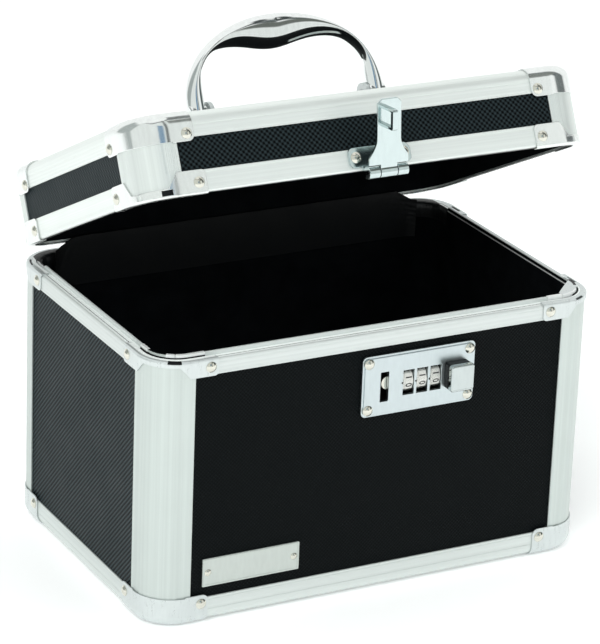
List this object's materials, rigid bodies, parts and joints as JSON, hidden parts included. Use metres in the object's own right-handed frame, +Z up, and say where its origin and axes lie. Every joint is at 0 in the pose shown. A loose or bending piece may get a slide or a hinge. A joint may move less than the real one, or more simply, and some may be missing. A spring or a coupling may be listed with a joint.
{
  "type": "portable combination lock safe box",
  "caption": "Carry case safe with aluminium edge trims, corner caps, hinged lid, fold-down handle and a hasp held by a dial lock.",
  "frame": {"origin": "on the standing plane, under the centre of the case", "axes": "+Z up, +X right along the front, -Y out of the front, where the lock is"},
  "size_m": [0.2662, 0.2005, 0.279],
  "materials": {
    "laminate": "black laminate with a fine woven emboss",
    "trim": "satin extrusion with fine lengthwise lines",
    "cap": "bright plated pressed sheet",
    "lock": "bright plated",
    "handle": "bright plated",
    "plate": "satin",
    "steel": "zinc plated",
    "dial": "plated, with dark digits",
    "housing": "black moulded",
    "felt": "black felt"
  },
  "bodies": {
    "case": {"panel_front": "laminate", "panel_back": "laminate", "panel_left": "laminate", "panel_right": "laminate", "panel_base": "laminate", "case_lining": "felt", "hinge_cover": "felt", "base_trim": "trim", "rim_trim": "trim", "corner_post_br": "trim", "corner_post_bl": "trim", "corner_post_fl": "trim", "corner_post_fr": "trim", "base_cap_br": "cap", "base_cap_bl": "cap", "base_cap_fl": "cap", "base_cap_fr": "cap", "rim_cap_br": "cap", "rim_cap_bl": "cap", "rim_cap_fl": "cap", "rim_cap_fr": "cap", "lock_plate": "lock", "lock_housing": "housing", "dial_spindle": "steel", "nameplate": "plate", "hinge_left_case": "steel", "hinge_right_case": "steel"},
    "lid": {"lid_board": "laminate", "lid_side_front": "laminate", "lid_side_back": "laminate", "lid_side_left": "laminate", "lid_side_right": "laminate", "lid_lining": "felt", "lid_top_trim": "trim", "lid_rim_trim": "trim", "lid_post_br": "trim", "lid_post_bl": "trim", "lid_post_fl": "trim", "lid_post_fr": "trim", "lid_top_cap_br": "cap", "lid_top_cap_bl": "cap", "lid_top_cap_fl": "cap", "lid_top_cap_fr": "cap", "lid_rim_cap_br": "cap", "lid_rim_cap_bl": "cap", "lid_rim_cap_fl": "cap", "lid_rim_cap_fr": "cap", "hinge_left_lid": "steel", "hinge_right_lid": "steel", "hasp_mount": "lock", "handle_bracket_left": "handle", "handle_bracket_right": "handle"},
    "carry_handle": {"handle": "handle"},
    "hasp": {"hasp_arm": "lock"},
    "bolt": {"lock_slider": "lock"},
    "first_dial": {"dial_1": "dial"},
    "second_dial": {"dial_2": "dial"},
    "third_dial": {"dial_3": "dial"}
  },
  "joints": [
    {"name": "lid_hinge", "type": "hinge", "parent": "case", "child": "lid", "pos_m": [0, 0.092, 0.1538], "axis": [-1, 0, 0], "range_deg": [-26.6, 68.4]},
    {"name": "hasp_hinge", "type": "hinge", "parent": "lid", "child": "hasp", "pos_m": [0, -0.0766, 0.23029], "axis": [-1, 0, 0], "range_deg": [-157.7, 9]},
    {"name": "handle_pivot", "type": "hinge", "parent": "lid", "child": "carry_handle", "pos_m": [0.0009, 0.02966, 0.23478], "axis": [-1, 0, 0], "range_deg": [-88, 88]},
    {"name": "bolt_slide", "type": "slide", "parent": "case", "child": "bolt", "axis": [1, 0, 0], "range_m": [0, 0.0034], "stiffness_N_per_m": 300},
    {"name": "first_dial_turn", "type": "hinge", "parent": "case", "child": "first_dial", "pos_m": [0.0147, -0.08195, 0.117], "axis": [1, 0, 0], "continuous": true},
    {"name": "second_dial_turn", "type": "hinge", "parent": "case", "child": "second_dial", "pos_m": [0.0228, -0.08195, 0.117], "axis": [1, 0, 0], "continuous": true},
    {"name": "third_dial_turn", "type": "hinge", "parent": "case", "child": "third_dial", "pos_m": [0.0309, -0.08195, 0.117], "axis": [1, 0, 0], "continuous": true}
  ]
}
